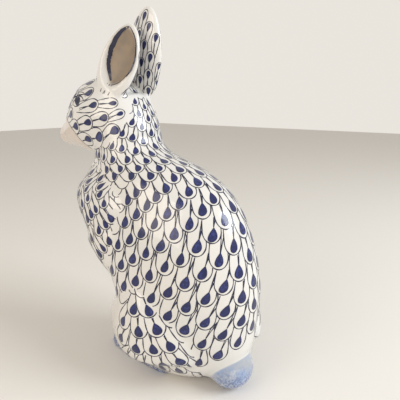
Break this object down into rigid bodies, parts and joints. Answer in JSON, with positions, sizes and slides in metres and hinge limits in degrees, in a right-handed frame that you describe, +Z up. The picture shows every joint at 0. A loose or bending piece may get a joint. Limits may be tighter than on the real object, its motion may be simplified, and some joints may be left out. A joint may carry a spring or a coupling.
{
  "type": "rabbit figurine",
  "caption": "Sitting ceramic rabbit with upright ears, a ball tail and a painted overlapping-scale ornament under a clear glaze, for a shelf or table.",
  "frame": {"origin": "centre of the flat underside of the trunk, on the ground", "axes": "+Z up, +Y towards the tail, so the rabbit faces -Y; +X towards the rabbit's left side"},
  "size_m": [0.1292, 0.2261, 0.3106],
  "materials": {
    "glaze": "gloss",
    "blue_wash": "gloss"
  },
  "bodies": {
    "root": {"trunk": "glaze", "head": "glaze", "left_ear": "glaze", "right_ear": "glaze", "left_haunch": "glaze", "right_haunch": "glaze", "left_hind_foot": "blue_wash", "right_hind_foot": "blue_wash", "left_foreleg": "glaze", "right_foreleg": "glaze", "tail": "blue_wash"}
  },
  "joints": []
}
